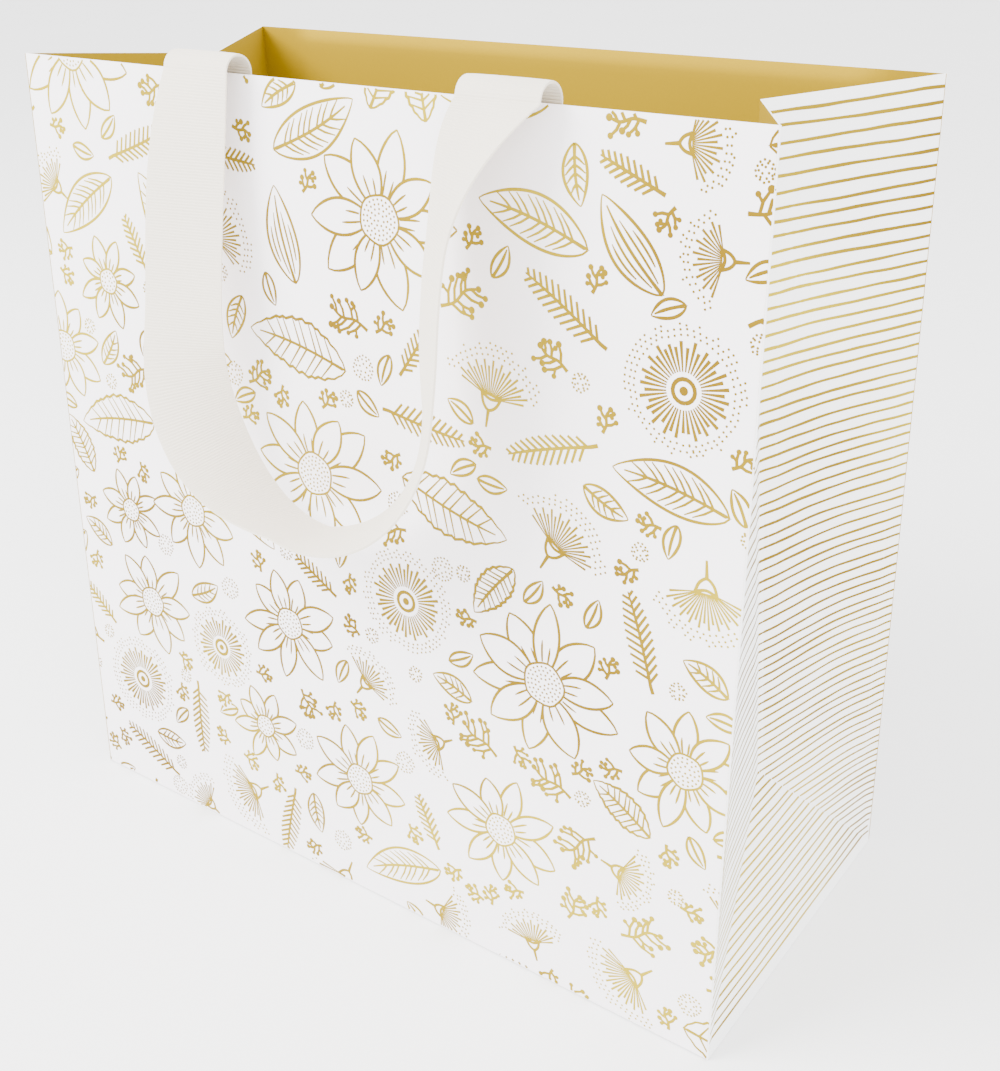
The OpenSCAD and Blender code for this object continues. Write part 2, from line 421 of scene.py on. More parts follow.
# the folding gussets
gusset = dict(paper=0.35 * mm, creaseDrop=3 * mm, footTilt=17.0, roundness=15 * mm, edge=8 * mm)
footCorner = Vector((halfWidth, -halfDepth, 0))
headCorner = wallPoint(halfWidth, 0, panelHeight)
creaseIn = math.sqrt(halfDepth ** 2 - headCorner.y ** 2)
creaseHead = Vector((halfWidth - creaseIn, 0, headCorner.z - gusset["creaseDrop"]))
tilt = math.radians(gusset["footTilt"])
creaseFoot = Vector((halfWidth - halfDepth * math.sin(tilt), 0, halfDepth * math.cos(tilt)))
baseMiddle = Vector((halfWidth, 0, 0))
upperOut = -(headCorner - footCorner).cross(creaseHead - footCorner).normalized()
lowerOut = -(creaseHead - footCorner).cross(creaseFoot - footCorner).normalized()
foldSlope = math.tan(upperOut.angle(lowerOut) / 2)
foldOut = (upperOut + lowerOut).normalized()
foldLength = math.hypot(halfDepth, panelHeight)
footOut = Vector((0, 1, 0)).cross(creaseFoot - baseMiddle).normalized()


def gussetPoint(u, v):
    if v < u - 1e-9:
        rise = v / halfDepth
        along = (creaseFoot - footCorner) * rise
        return footCorner + along + (baseMiddle - footCorner) * ((u - v) / halfDepth)
    if u / halfDepth <= v / panelHeight:
        share = u / halfDepth
        point = (footCorner + (headCorner - footCorner) * (v / panelHeight - share)
                 + (creaseHead - footCorner) * share)
    else:
        share = (v - u) / (panelHeight - halfDepth)
        point = (footCorner + (creaseHead - footCorner) * share
                 + (creaseFoot - footCorner) * (u / halfDepth - share))
    away = (u * panelHeight - v * halfDepth) / foldLength
    along = v / panelHeight
    wide = gusset["roundness"] * 4 * along * (1 - along)
    soft = (math.hypot(away, wide) - abs(away)) * foldSlope
    edges = smooth(u / gusset["edge"]) * smooth((halfDepth - u) / gusset["edge"])
    return point + foldOut * soft * edges


def upperFlat(p, q):
    return p * q * halfDepth, q * panelHeight


def lowerFlat(p, q):
    return (halfDepth * (1 - q) + q * p * halfDepth, panelHeight * (1 - q) + q * p * halfDepth)


def footPoint(p, q):
    across = (p * 2 - 1) * halfDepth * q
    return creaseFoot + (baseMiddle - creaseFoot) * q + Vector((0, across, 0))


def outRight(_):
    return Vector((1, 0, 0))


def makeUpper():
    piece = gridSheet("right_front_upper_paper", spread(0, 1, 16), spread(0, 1, 60),
                      lambda p, q: gussetPoint(*upperFlat(p, q)))
    weld(piece, outRight)
    thicken(piece, gusset["paper"], linedPaper, goldPaper)
    return piece


def makeLower():
    piece = gridSheet("right_front_lower_paper", spread(0, 1, 16), spread(0, 1, 60),
                      lambda p, q: gussetPoint(*lowerFlat(p, q)))
    weld(piece, outRight)
    thicken(piece, gusset["paper"], linedPaper, goldPaper)
    return piece


def makeFoot():
    piece = gridSheet("right_foot_triangle_paper", spread(0, 1, 24), spread(0, 1, 16), footPoint)
    weld(piece, outRight)
    thicken(piece, gusset["paper"], linedPaper, goldPaper)
    return piece


def makeGussetHem():
    low = 1 - hemHeight / panelHeight
    inside = -(upperOut * (gusset["paper"] + 0.03 * mm))
    piece = gridSheet("right_front_hem_paper", spread(0.1, 0.99, 14), spread(low, 0.9995, 14),
                      lambda p, q: gussetPoint(*upperFlat(p, q)) + inside)
    weld(piece, lambda c: -outRight(c))
    thicken(piece, 0.3 * mm, goldPaper, printedPaper)
    return piece


# foil drawing, in millimetres on the panel
pen = dict(line=0.46, fine=0.35, bold=0.58, dot=0.38, step=1.6, margin=0.4, flat=0.2, seed=11)
pageWide = halfWidth / mm
pageTall = panelHeight / mm


def within(x, y, outline):
    hit = False
    ax, ay = outline[-1]
    for bx, by in outline:
        if (ay > y) != (by > y) and x < (bx - ax) * (y - ay) / (by - ay) + ax:
            hit = not hit
        ax, ay = bx, by
    return hit


def onRing(radius, degrees):
    return radius * math.cos(math.radians(degrees)), radius * math.sin(math.radians(degrees))


def flowing(points, cuts=5):
    ends = [points[0]] + list(points) + [points[-1]]
    path = []
    for a, b, c, d in zip(ends, ends[1:], ends[2:], ends[3:]):
        for i in range(cuts):
            t = i / cuts
            path.append(tuple(0.5 * (2 * b[k] + (c[k] - a[k]) * t
                                     + (2 * a[k] - 5 * b[k] + 4 * c[k] - d[k]) * t * t
                                     + (3 * b[k] - a[k] - 3 * c[k] + d[k]) * t ** 3) for k in (0, 1)))
    return path + [tuple(points[-1])]


class Page:
    def __init__(self, seed, bounds):
        self.lines = []
        self.masks = []
        self.taken = set()
        self.dice = random.Random(seed)
        self.bounds = bounds
        self.move = (0, 0, 0, 1)

    def at(self, x, y, turn=0, size=1.0):
        self.move = (x, y, math.radians(turn), size)
        return self

    def spot(self, p):
        x, y, turn, size = self.move
        return (x + size * (p[0] * math.cos(turn) - p[1] * math.sin(turn)),
                y + size * (p[0] * math.sin(turn) + p[1] * math.cos(turn)))

    def seen(self, x, y):
        left, low, right, high = self.bounds
        if not (left < x < right and low < y < high):
            return False
        return not any((x - cx) ** 2 + (y - cy) ** 2 < reach and within(x, y, outline)
                       for cx, cy, reach, outline in self.masks)

    def cover(self, outline):
        spots = [self.spot(p) for p in outline]
        cx = sum(p[0] for p in spots) / len(spots)
        cy = sum(p[1] for p in spots) / len(spots)
        reach = max((p[0] - cx) ** 2 + (p[1] - cy) ** 2 for p in spots)
        self.masks.append((cx, cy, reach, spots))

    def edge(self, a, b):
        for _ in range(7):
            middle = tuple((a[k] + b[k]) / 2 for k in range(3))
            if self.seen(middle[0], middle[1]):
                a = middle
            else:
                b = middle
        return a

    def stroke(self, points, width="line", taper=(1, 1)):
        spots = [self.spot(p) for p in points]
        last = len(spots) - 1
        run, before = [], None
        for i, (x, y) in enumerate(spots):
            share = i / last
            swell = taper[0] + (1 - taper[0]) * min(1, share * 4) if share < 0.5 else (
                taper[1] + (1 - taper[1]) * min(1, (1 - share) * 4))
            here = (x, y, pen[width] * swell)
            if before and math.dist(before[:2], here[:2]) > pen["step"] * 2:
                cuts = int(math.dist(before[:2], here[:2]) / (pen["step"] * 2)) + 1
                steps = [tuple(before[k] + (here[k] - before[k]) * c / cuts for k in range(3))
                         for c in range(1, cuts + 1)]
            else:
                steps = [here]
            for step in steps:
                if self.seen(step[0], step[1]):
                    if not run and before:
                        run = [self.edge(step, before)]
                    run.append(step)
                elif run:
                    run.append(self.edge(run[-1], step))
                    self.lines.append(run)
                    run = []
                before = step
        if len(run) > 1:
            self.lines.append(run)

    def dot(self, p, radius):
        x, y = self.spot(p)
        if self.seen(x, y):
            self.lines.append([(x - radius * 0.85, y, radius * 0.5), (x, y, radius),
                               (x + radius * 0.85, y, radius * 0.5)])

    def disc(self, p, radius):
        x, y = self.spot(p)
        if self.seen(x, y):
            self.lines.append([(x + radius * c, y, radius * math.sqrt(1.02 - c * c))
                               for c in (-0.98, -0.8, -0.4, 0, 0.4, 0.8, 0.98)])


def leaf(page, length, width, bend=0.0, kind="veined", teeth=0, stem=0.0, veins=8):
    count = 30
    spine, left, right = [], [], []
    for i in range(count + 1):
        t = i / count
        half = width / 2 * math.sin(math.pi * t ** 0.85) ** 0.8 if 0 < t < 1 else 0
        saw = 1 + 0.16 * (0.5 - (t * teeth) % 1) if teeth else 1
        sway = bend * math.sin(math.pi * t * 0.8)
        spine.append((sway, length * t))
        left.append((sway - half * saw, length * t))
        right.append((sway + half * saw, length * t))

    def rib(side, share):
        return [(s[0] + (e[0] - s[0]) * share, s[1]) for s, e in zip(spine, side)]

    page.stroke(left, "line", (0.6, 0.4))
    page.stroke(right, "line", (0.6, 0.4))
    page.stroke([(0, -stem)] + spine[:-3], "line", (1.3, 0.5))
    for side in (left, right):
        if kind == "veined":
            for v in range(1, veins + 1):
                a = int(count * (0.06 + 0.72 * v / (veins + 1)))
                b = min(count - 1, a + 4)
                tip = (spine[b][0] + (side[b][0] - spine[b][0]) * 0.84, side[b][1] + length * 0.02)
                middle = ((spine[a][0] + tip[0]) / 2, (spine[a][1] + tip[1]) / 2 - length * 0.012)
                page.stroke([spine[a], middle, tip], "fine", (1, 0.5))
        elif kind == "grass":
            page.stroke(rib(side, 0.36)[3:-8], "fine", (0.6, 0.4))
            page.stroke(rib(side, 0.68)[7:-12], "fine", (0.6, 0.4))
        elif kind == "serrate":
            for v in range(1, veins + 1):
                a = int(count * (0.08 + 0.75 * v / (veins + 1)))
                b = min(count - 1, a + 3)
                page.stroke([spine[a], (side[b][0] * 0.94 + spine[b][0] * 0.06, side[b][1])],
                            "fine", (1, 0.6))
    page.cover(left + right[::-1])


def daisy(page, radius, petals=9, heart=0.27):
    dice = page.dice
    core = radius * heart
    rings = int(core / 1.25)
    for ring in range(rings):
        r = core * (ring + 0.35) / rings * 0.93
        many = max(1, int(2 * math.pi * r / 1.45))
        for k in range(many):
            page.dot(onRing(r, 360 * k / many + ring * 23), pen["dot"])
    rim = [onRing(core * (1 + 0.03 * math.sin(k * 5)), k * 15) for k in range(25)]
    page.stroke(rim, "fine")
    page.cover(rim)
    first = dice.uniform(0, 360)
    order = list(range(0, petals, 2)) + list(range(1, petals, 2))
    for k in order:
        angle = first + 360 * k / petals + dice.uniform(-5, 5)
        long = radius * dice.uniform(0.86, 1.06)
        wide = radius * 0.19 * dice.uniform(0.9, 1.15)
        curl = dice.uniform(-0.07, 0.07) * radius

        def petal(share, side):
            along = core * 0.8 + (long - core * 0.8) * share
            half = wide * math.sin(math.pi * (0.14 + 0.86 * share) ** 1.05) ** 0.75 if share < 1 else 0
            across = side * half + curl * share ** 2
            x, y = onRing(along, angle)
            nx, ny = onRing(across, angle + 90)
            return x + nx, y + ny

        shares = [i / 12 for i in range(13)]
        left = [petal(s, 1) for s in shares]
        right = [petal(s, -1) for s in shares]
        page.stroke(left, "line", (0.8, 0.6))
        page.stroke(right, "line", (0.8, 0.6))
        page.stroke([petal(s, 0.3) for s in shares[1:6]], "fine", (0.8, 0.4))
        page.stroke([petal(s, -0.35) for s in shares[1:5]], "fine", (0.8, 0.4))
        page.cover(left + right[::-1])


def halo(page, radius, low, high, gap=1.75):
    for ring, share in enumerate((0.86, 0.95, 1.03)):
        r = radius * share
        many = max(3, int(r * math.radians(high - low) / gap))
        for k in range(many + 1):
            if ring == 2 and page.dice.random() < 0.45:
                continue
            page.dot(onRing(r + page.dice.uniform(-0.25, 0.25), low + (high - low) * (k + ring * 0.5) / many),
                     pen["dot"])


def burst(page, radius):
    page.disc((0, 0), radius * 0.075)
    page.stroke([onRing(radius * 0.19, k * 20) for k in range(19)], "bold")
    many = int(radius * 2.7)
    for k in range(many):
        angle = 360 * k / many + page.dice.uniform(-1, 1)
        reach = radius * (0.77 if k % 2 else 0.68) * page.dice.uniform(0.96, 1.04)
        page.stroke([onRing(radius * 0.3, angle), onRing(reach, angle)], "line", (0.45, 1.1))
    halo(page, radius, 0, 360)
    page.cover([onRing(radius * 1.05, k * 20) for k in range(18)])


def fan(page, radius, spread=128, stem=0.35):
    cup = radius * 0.16
    low, high = 90 - spread / 2, 90 + spread / 2
    page.stroke(flowing([(-cup * 1.15, cup * 1.2), (-cup * 0.75, cup * 0.2), (0, -cup * 0.35),
                         (cup * 0.75, cup * 0.2),
                         (cup * 1.15, cup * 1.2)]), "line")
    page.stroke(flowing([(-cup * 1.15, cup * 1.2), (0, cup * 0.85), (cup * 1.15, cup * 1.2)]), "line")
    page.stroke([(0, -cup * 0.35), (radius * 0.02, -radius * stem)], "bold", (1, 0.6))
    many = int(radius * 1.2)
    for k in range(many + 1):
        angle = low + (high - low) * k / many
        reach = radius * (0.78 if k % 2 else 0.68)
        x = cup * (0.5 - k / many) * 2
        page.stroke([(x, cup * 1.15), onRing(reach, angle)], "fine", (0.45, 1.05))
    halo(page, radius, low, high)
    page.cover([(-cup, -cup)] + [onRing(radius * 1.05, high - (high - low) * k / 8) for k in range(9)]
               + [(cup, -cup)])


def fern(page, length, width, pairs=13, bend=0.0, thin="line"):
    count = pairs * 2
    spine = [(bend * math.sin(math.pi * 0.5 * i / count), length * i / count) for i in range(count + 1)]
    page.stroke([(0, -length * 0.08)] + spine, "line", (1.3, 0.5))
    for k in range(1, pairs * 2):
        t = k / (pairs * 2)
        reach = width / 2 * (0.55 + 0.45 * math.sin(math.pi * min(1, t * 1.5) * 0.5)) * (1.02 - t) ** 0.45
        for side in (-1, 1):
            if (k + (side > 0)) % 2:
                continue
            x, y = spine[k]
            page.stroke([(x, y), (x + side * reach * 0.8, y + reach * 0.62)], thin, (1.0, 0.85))
    page.cover([(-width * 0.28, 0), (-width * 0.42, length * 0.3), (-width * 0.3, length * 0.75), (0, length),
                (width * 0.3, length * 0.75), (width * 0.42, length * 0.3), (width * 0.28, 0)])


def berries(page, size, many=7, radius=0.95):
    spine = flowing([(0, 0), (size * 0.06, size * 0.35), (-size * 0.04, size * 0.7), (size * 0.05, size)])
    page.stroke(spine, "line", (1.3, 0.8))
    page.disc((size * 0.05, size), radius)
    for k in range(many):
        t = 0.2 + 0.7 * k / many
        x, y = spine[int(t * (len(spine) - 1))]
        side = 1 if k % 2 else -1
        reach = size * page.dice.uniform(0.3, 0.44) * (1.15 - 0.5 * t)
        end = (x + side * reach, y + reach * 0.8)
        page.stroke([(x, y), (x + side * reach * 0.55, y + reach * 0.3), end], "line", (1, 0.8))
        page.disc(end, radius * page.dice.uniform(0.8, 1.1))
        if k % 3 == 0:
            twig = (x + side * reach * 0.9, y + reach * 0.12)
            page.stroke([(x + side * reach * 0.5, y + reach * 0.27), twig], "line", (1, 0.8))
            page.disc(twig, radius * 0.8)
    page.cover([(-size * 0.4, size * 0.2), (-size * 0.4, size * 0.9), (0, size * 1.1),
                (size * 0.4, size * 0.9),
                (size * 0.4, size * 0.2), (0, 0)])


def dotted(page, radius):
    for r, gap in ((radius, 1.15), (radius * 0.72, 1.5), (radius * 0.38, 1.6)):
        many = max(3, int(2 * math.pi * r / gap))
        for k in range(many):
            page.dot(onRing(r * page.dice.uniform(0.92, 1.08), 360 * k / many + r * 40), pen["dot"])
    page.cover([onRing(radius * 1.15, k * 30) for k in range(12)])


def sprig(page, size, leaves=5, kind="grass"):
    kept = page.move
    spine = flowing([(0, 0), (size * 0.05, size * 0.3), (-size * 0.03, size * 0.6), (0, size * 0.78)])
    page.stroke(spine, "bold", (1.2, 0.6))
    for k in range(leaves):
        t = 1 if k == leaves - 1 else 0.15 + 0.7 * k / leaves
        x, y = spine[int(t * (len(spine) - 1))]
        side = -1 if k % 2 else 1
        turn = 0 if k == leaves - 1 else side * (62 - 22 * t)
        px, py = page.spot((x, y))
        page.at(px, py, math.degrees(kept[2]) - turn, kept[3])
        leaf(page, size * (0.62 - 0.1 * t), size * 0.17, side * size * 0.05, kind)
        page.move = kept


def takenCells(page, lines, masks):
    for line in lines:
        page.taken.update((round(x / 2), round(y / 2)) for x, y, _ in line)
    for cx, cy, reach, outline in masks:
        span = int(math.sqrt(reach) / 2) + 1
        for i in range(round(cx / 2) - span, round(cx / 2) + span + 1):
            for j in range(round(cy / 2) - span, round(cy / 2) + span + 1):
                if within(i * 2, j * 2, outline):
                    page.taken.add((i, j))


def roomFor(page, long, wide):
    reach = (wide / 2 + 1.1) / 2
    span = int(reach) + 1
    for step in range(int(long / 2) + 1):
        x, y = page.spot((0, step * 2))
        i, j = round(x / 2), round(y / 2)
        for a in range(-span, span + 1):
            for b in range(-span, span + 1):
                if a * a + b * b <= reach * reach and (i + a, j + b) in page.taken:
                    return False
    return True


motifs = dict(daisy=daisy, burst=burst, fan=fan, dotted=dotted, leaf=leaf, fern=fern,
              berries=berries, sprig=sprig)
# kind, length and width of the room it needs, tries, then what the motif's own function takes
blossoms = [
    ("daisy", 1, 45, 9, 25, 10),
    ("burst", 1, 30, 4, 16),
    ("daisy", 1, 37, 20, 20, 9),
    ("fan", 14, 24, 40, 17),
    ("burst", 1, 27, 9, 14),
    ("daisy", 1, 28, 26, 15, 8),
    ("fan", 12, 18, 60, 13),
]
foliage = [
    ("sprig", 42, 26, 260, 44, 5),
    ("leaf", 38, 15, 200, 38, 16, 2, "serrate", 11),
    ("leaf", 34, 12, 500, 34, 13, 2, "veined"),
    ("fern", 27, 10, 500, 27, 14, 12, 2),
    ("leaf", 28, 10, 500, 28, 11, -2, "grass"),
    ("berries", 15, 10, 500, 14, 8),
    ("leaf", 22, 9, 700, 22, 10, 1, "serrate", 9),
    ("fan", 10, 15, 300, 11),
    ("fern", 18, 8, 900, 18, 11, 9),
    ("berries", 11, 7, 600, 10, 6),
    ("leaf", 15, 6, 1500, 15, 7, 1, "veined", 0, 0, 4),
    ("dotted", 1, 6, 90, 3.5),
    ("berries", 7, 4, 1500, 7, 4, 0.8),
    ("leaf", 10, 3, 2500, 10, 4.6, 0.6, "plain"),
    ("dotted", 1, 4, 400, 2.4),
]


def scatter(page, group):
    for kind, long, wide, tries, *more in group:
        for _ in range(tries):
            page.at(page.dice.uniform(-pageWide - 4, pageWide + 4), page.dice.uniform(-6, pageTall + 6),
                    page.dice.uniform(0, 360))
            if roomFor(page, long, wide):
                lines, masks = len(page.lines), len(page.masks)
                motifs[kind](page, *more)
                takenCells(page, page.lines[lines:], page.masks[masks:])


def drawPanel():
    inset = pen["margin"]
    page = Page(pen["seed"],
                (-pageWide + inset, wall["foot"] / mm + inset, pageWide - inset, pageTall - inset))
    for leg in (leftLeg, rightLeg):
        x = leg / mm
        wide = rim["slitWide"] / 2 / mm
        low = pageTall - rim["slitDrop"] / mm - 0.6
        page.cover([(x - wide, low), (x + wide, low), (x + wide, low + 4), (x - wide, low + 4)])
    takenCells(page, [], page.masks)
    scatter(page, blossoms)
    flowers = len(page.lines)
    scatter(page, foliage)
    return page.lines[:flowers], page.lines[flowers:]


def inkPiece(name, lines, place):
    curve = bpy.data.curves.new(name, "CURVE")
    curve.dimensions = "2D"
    curve.fill_mode = "NONE"
    curve.bevel_depth = 1
    curve.bevel_resolution = 0
    curve.use_fill_caps = True
    for line in lines:
        spline = curve.splines.new("POLY")
        spline.points.add(len(line) - 1)
        for point, (x, y, radius) in zip(spline.points, line):
            point.co = (x, y, 0, 1)
            point.radius = radius
    bpy.ops.object.select_all(action="DESELECT")
    piece = bpy.data.objects.new(name, curve)
    bpy.context.scene.collection.objects.link(piece)
    bpy.context.view_layer.objects.active = piece
    piece.select_set(True)
    bpy.ops.object.convert(target="MESH")
    piece = bpy.context.object
    for vertex in piece.data.vertices:
        x, y, z = vertex.co
        vertex.co = place(x * mm, y * mm, z * pen["flat"] * mm)
    piece.data.materials.clear()
    piece.data.materials.append(goldFoil)
    bpy.ops.object.shade_smooth_by_angle(angle=math.radians(50))
    return piece


def makePrints():
    pieces = []
    for part, lines in zip(("flowers", "leaves"), drawPanel()):
        piece = inkPiece("front_foil_" + part, lines, lambda x, up, out: onWall(x, -out, up))
        print("foil", part, len(lines), "strokes,", len(piece.data.polygons), "faces")
        pieces.append(piece)
    return pieces


# foil lines of the gussets
ruled = dict(first=3.4, gaps=((0, 4.1), (70, 3.7), (140, 3.3), (205, 2.9), (262, 2.6)),
             wave=0.34, waveLong=34.0,
             wide=0.5, narrow=0.38, seed=5)


def ruledHeights():
    heights = []
    down = ruled["first"]
    dice = random.Random(ruled["seed"])
    while down < pageTall - 1.5:
        heights.append(pageTall - down)
        for (a, gapA), (b, gapB) in zip(ruled["gaps"], ruled["gaps"][1:]):
            if a <= down <= b:
                gap = gapA + (gapB - gapA) * (down - a) / (b - a)
                break
        down += gap * dice.uniform(0.9, 1.1)
    return heights


def ruledLine(k, height, across):
    fade = min(1, (height - 0.8) / 8)
    wave = noise.noise(Vector((across / ruled["waveLong"], k * 3.7, 1.3))) * 1.5
    ripple = noise.noise(Vector((across / 9.0, k * 5.1, 7.7))) * 0.55
    share = height / pageTall
    radius = ruled["narrow"] + (ruled["wide"] - ruled["narrow"]) * share
    radius *= 1 + 0.22 * noise.noise(Vector((across / 12.0, k * 2.3, 4.4)))
    return height + fade * ruled["wave"] * (wave + ripple), radius


def gussetLines(part, back):
    half = halfDepth / mm
    span = 2 * half if part == "foot" else half
    shy = 0.1

    def spare(u, v):
        if part == "upper":
            return min(v / pageTall * half - u + shy, u - 0.4)
        if part == "lower":
            return min(u - v / pageTall * half + shy, v - u - shy, half - 0.1 - u)
        return min(u, span - u) - v - shy

    lines = []
    for k, height in enumerate(ruledHeights()):
        run = []
        before = None
        for i in range(33):
            u = span * i / 32
            v, radius = ruledLine(k, height, 2 * half - u if back else u)
            room = spare(u, v)
            if before and (room > 0) != (before[3] > 0):
                t = before[3] / (before[3] - room)
                run.append(tuple(before[n] + ((u, v, radius)[n] - before[n]) * t for n in range(3)))
            if room > 0:
                run.append((u, v, radius))
            before = (u, v, radius, room)
        if len(run) > 1 and height < pageTall - 1:
            lines.append(run)
    return lines


def makeRuled(part, back):
    if part == "foot":
        def place(u, v, out):
            up = (creaseFoot - baseMiddle) * (v / halfDepth)
            return footCorner + Vector((0, u, 0)) + up + footOut * out
    else:
        outward = upperOut if part == "upper" else lowerOut

        def place(u, v, out):
            return gussetPoint(u, v) + outward * out
    return inkPiece("right_" + ("back_" if back else "front_") + part + "_foil",
                    gussetLines(part, back), place)


# ribbon handles
ribbon = dict(width=25 * mm, thick=0.55 * mm, taper=5.5 * mm, drop=124 * mm, standoff=20 * mm,
              tail=24 * mm, glued=1.6 * mm, inner=3.05 * mm, outer=-6.5 * mm, rise=0.6 * mm,
              through=-0.6 * mm, hinge=1.15 * mm,
              rib=0.85 * mm, ribDepth=0.09 * mm, rightTurn=42.0, leftTurn=17.0, lowTurn=102.0)
loopRadius = (rightLeg - leftLeg) / 2 - ribbon["taper"]
legLength = ribbon["drop"] - loopRadius
rimTop = panelHeight + ribbon["rise"]


overRim = dict(inner=ribbon["inner"], outer=ribbon["outer"], top=rimTop)
throughSlit = dict(inner=ribbon["glued"], outer=ribbon["through"], top=panelHeight - rim["slitDrop"])


def loopStep(share, over, right):
    halfLength = legLength + loopRadius * math.pi / 2
    down = min(share * halfLength, legLength)
    bend = max(0.0, share * halfLength - legLength) / loopRadius
    leg = rightLeg if right else -leftLeg
    twisted = right and over["top"] > panelHeight
    first = ribbon["rightTurn"] if twisted else ribbon["leftTurn"]
    later = max(0.0, (share - 0.4) / 0.6) ** 1.6 if twisted else smooth((share - 0.4) / 0.6)
    turn = math.radians(first * (1 - (1 - min(1, share / 0.25)) ** 2) + (ribbon["lowTurn"] - first) * later)
    out = -over["outer"] + (ribbon["standoff"] + over["outer"]) * (1 - (1 - share) ** (4 if twisted else 2.2))
    point = Vector((loopRadius * math.cos(bend) + (leg - loopRadius) * (1 - down / legLength) ** 5,
                    -out, over["top"] - down - loopRadius * math.sin(bend)))
    across = Vector((math.cos(bend) * math.cos(turn), -math.sin(turn), -math.sin(bend) * math.cos(turn)))
    return point, across


def halfRoute(over, right):
    leg = rightLeg if right else -leftLeg
    slitUp = panelHeight - rim["slitDrop"]
    flat = Vector((1, 0, 0))
    route = []
    for t in spread(0, 1, 30):
        up = slitUp - ribbon["tail"] + t * (over["top"] - slitUp + ribbon["tail"])
        rolled = smooth((up - slitUp + 2.5 * mm) / (5 * mm))
        inward = ribbon["glued"] + (over["inner"] - ribbon["glued"]) * rolled
        route.append((Vector((leg, inward, up)), flat))
    radius = (over["inner"] - over["outer"]) / 2
    middle = (over["inner"] + over["outer"]) / 2
    for a in spread(0, math.pi, 16)[1:-1]:
        route.append((Vector((leg, middle + radius * math.cos(a), over["top"] + radius * math.sin(a))), flat))
    route += [loopStep(share, over, right) for share in spread(0, 1, 90)]
    return route


def makeRibbon(over):
    right = halfRoute(over, True)
    left = [(Vector((-p.x, p.y, p.z)), Vector((-a.x, a.y, a.z))) for p, a in halfRoute(over, False)]
    route = left + right[-2::-1]
    lengths = [0.0]
    for (a, _), (b, _) in zip(route, route[1:]):
        lengths.append(lengths[-1] + (b - a).length)
    total = lengths[-1]
    count = int(total / ribbon["rib"]) * 4
    steps = []
    k = 0
    for i in range(count + 1):
        at = total * i / count
        while k < len(lengths) - 2 and lengths[k + 1] < at:
            k += 1
        t = (at - lengths[k]) / (lengths[k + 1] - lengths[k])
        steps.append((route[k][0].lerp(route[k + 1][0], t),
                      route[k][1].lerp(route[k + 1][1], t).normalized()))

    def face(i):
        before, after = steps[max(0, i - 2)][0], steps[min(count, i + 2)][0]
        return steps[i][1].cross(after - before).normalized()

    def place(side, i):
        point, across = steps[int(i)]
        rib = ribbon["ribDepth"] * math.cos(i * math.pi / 2)
        edge = 1 - abs(side) ** 6 * 0.5
        away = face(int(i)) * (ribbon["thick"] / 2 * edge + rib * edge)
        flat = point + across * side * ribbon["width"] / 2 + away
        return onWall(flat.x, flat.y, flat.z)

    sides = [-1, -0.96, -0.85, -0.4, 0, 0.4, 0.85, 0.96, 1]
    piece = gridSheet("front_ribbon", sides, list(range(count + 1)), place)
    weld(piece, lambda c: Vector((0, 1, 0)), True)
    solid = piece.modifiers.new("ribbon", "SOLIDIFY")
    solid.thickness = ribbon["thick"]
    solid.offset = -1
    piece.data.materials.append(creamRibbon)
    applyAll(piece)
    bpy.ops.object.shade_smooth_by_angle(angle=math.radians(60))
    return piece, total


# base
base = dict(paper=0.38 * mm, boardEdge=0.3 * mm)


def makeFlap(name, outline, level, under, over):
    bpy.ops.object.select_all(action="DESELECT")
    bpy.ops.mesh.primitive_plane_add(size=2)
    piece = bpy.context.object
    piece.name = name
    for vertex, (x, y) in zip(sorted(piece.data.vertices, key=lambda v: (v.co.y, v.co.x)), outline):
        vertex.co = Vector((x, y, level))
    editMesh(piece, lambda: bpy.ops.mesh.subdivide(number_cuts=7))
    weld(piece, lambda c: Vector((0, 0, -1)))
    thicken(piece, base["paper"], under, over)
    return piece


def makeBase():
    made = []
    layer = 0.4 * mm
    reach = 10 * mm
    wide, deep = halfWidth - 0.8 * mm, halfDepth - 0.8 * mm
    slope = (deep + reach) * 0.25
    long = [(-wide, -deep), (wide, -deep), (-wide + slope, reach), (wide - slope, reach)]
    for name, node, turn, level in (("bottom_back_flap_paper", "bottom_back_flap", -1, 0.01 * mm),
                                    ("bottom_front_flap_paper", "bottom_front_flap", 1, layer)):
        outline = [(x * turn, y * turn) for x, y in long]
        if turn < 0:
            outline = [outline[3], outline[2], outline[1], outline[0]]
        piece = makeFlap(name, outline, level, linedPaper, linedPaper)
        made.append((piece, [node]))
    narrow = deep * 0.2
    for name, node, turn in (("bottom_side_flap_right_paper", "bottom_side_flap_right", 1),
                             ("bottom_side_flap_left_paper", "bottom_side_flap_left", -1)):
        far = wide - deep * 0.8
        outline = [(far, -narrow), (wide, -deep), (far, narrow), (wide, deep)]
        if turn < 0:
            outline = [(-wide, -deep), (-far, -narrow), (-wide, deep), (-far, narrow)]
        piece = makeFlap(name, outline, 2 * layer, linedPaper, goldPaper)
        made.append((piece, [node]))
    low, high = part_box("bottom_board")
    bpy.ops.object.select_all(action="DESELECT")
    bpy.ops.mesh.primitive_cube_add(size=1)
    board = bpy.context.object
    board.name = "bottom_board_card"
    for vertex in board.data.vertices:
        vertex.co = Vector([low[k] if vertex.co[k] < 0 else high[k] for k in range(3)])
    bevel = board.modifiers.new("edge", "BEVEL")
    bevel.width = base["boardEdge"]
    bevel.segments = 2
    board.data.materials.append(greyCard)
    applyAll(board)
    made.append((board, ["bottom_board"]))
    return made


seam = dict(wide=15 * mm, corner=2 * mm, foot=6 * mm, high=216 * mm, taper=5 * mm, paper=0.25 * mm)


